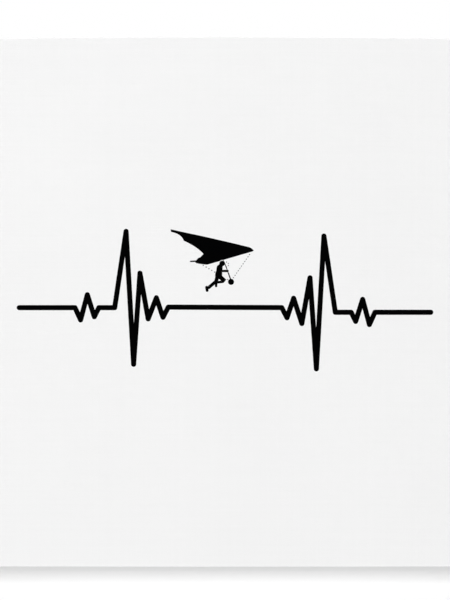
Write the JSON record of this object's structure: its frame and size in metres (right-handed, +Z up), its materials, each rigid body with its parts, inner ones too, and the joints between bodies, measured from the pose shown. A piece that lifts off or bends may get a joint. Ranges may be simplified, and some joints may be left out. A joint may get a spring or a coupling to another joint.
{
  "type": "stretched canvas print",
  "caption": "Square white canvas print with a black pulse line, stretched over a deep wooden frame, with corner keys and hinged D-ring hangers on the back.",
  "frame": {"origin": "centre of the footprint, on the ground under the panel's lower edge", "axes": "+Z up the panel, +Y out of its back towards the wall, so the printed front faces -Y; +X to the right as seen from the front"},
  "size_m": [0.4, 0.0436, 0.4],
  "materials": {
    "canvas": "matt primed cotton canvas",
    "pine": "planed, unfinished",
    "key_wood": "sawn, unfinished",
    "zinc": "zinc plated",
    "rubber": "matt",
    "ink": "matt black ink film"
  },
  "bodies": {
    "panel": {"canvas": "canvas", "bar_bottom": "pine", "bar_right": "pine", "bar_top": "pine", "bar_left": "pine", "strap_left": "zinc", "strap_right": "zinc", "bumper_left": "rubber", "bumper_right": "rubber", "print_pulse": "ink", "print_flyer": "ink"},
    "ring_left": {"d_ring_left": "zinc"},
    "ring_right": {"d_ring_right": "zinc"},
    "key_bottom_left_level": {"key_bottom_left_level": "key_wood"},
    "key_bottom_left_upright": {"key_bottom_left_upright": "key_wood"},
    "key_bottom_right_level": {"key_bottom_right_level": "key_wood"},
    "key_bottom_right_upright": {"key_bottom_right_upright": "key_wood"},
    "key_top_right_level": {"key_top_right_level": "key_wood"},
    "key_top_right_upright": {"key_top_right_upright": "key_wood"},
    "key_top_left_level": {"key_top_left_level": "key_wood"},
    "key_top_left_upright": {"key_top_left_upright": "key_wood"}
  },
  "joints": [
    {"name": "ring_left_hinge", "type": "hinge", "parent": "panel", "child": "ring_left", "pos_m": [-0.1832, 0.01945, 0.305], "axis": [1, 0, 0], "range_deg": [0, 180]},
    {"name": "ring_right_hinge", "type": "hinge", "parent": "panel", "child": "ring_right", "pos_m": [0.1832, 0.01945, 0.305], "axis": [1, 0, 0], "range_deg": [0, 180]},
    {"name": "key_bottom_left_level_slide", "type": "slide", "parent": "panel", "child": "key_bottom_left_level", "axis": [1, 0, 0], "range_m": [0, 0.01]},
    {"name": "key_bottom_left_upright_slide", "type": "slide", "parent": "panel", "child": "key_bottom_left_upright", "axis": [0, 0, 1], "range_m": [0, 0.01]},
    {"name": "key_bottom_right_level_slide", "type": "slide", "parent": "panel", "child": "key_bottom_right_level", "axis": [-1, 0, 0], "range_m": [0, 0.01]},
    {"name": "key_bottom_right_upright_slide", "type": "slide", "parent": "panel", "child": "key_bottom_right_upright", "axis": [0, 0, 1], "range_m": [0, 0.01]},
    {"name": "key_top_right_level_slide", "type": "slide", "parent": "panel", "child": "key_top_right_level", "axis": [-1, 0, 0], "range_m": [0, 0.01]},
    {"name": "key_top_right_upright_slide", "type": "slide", "parent": "panel", "child": "key_top_right_upright", "axis": [0, 0, -1], "range_m": [0, 0.01]},
    {"name": "key_top_left_level_slide", "type": "slide", "parent": "panel", "child": "key_top_left_level", "axis": [1, 0, 0], "range_m": [0, 0.01]},
    {"name": "key_top_left_upright_slide", "type": "slide", "parent": "panel", "child": "key_top_left_upright", "axis": [0, 0, -1], "range_m": [0, 0.01]}
  ]
}
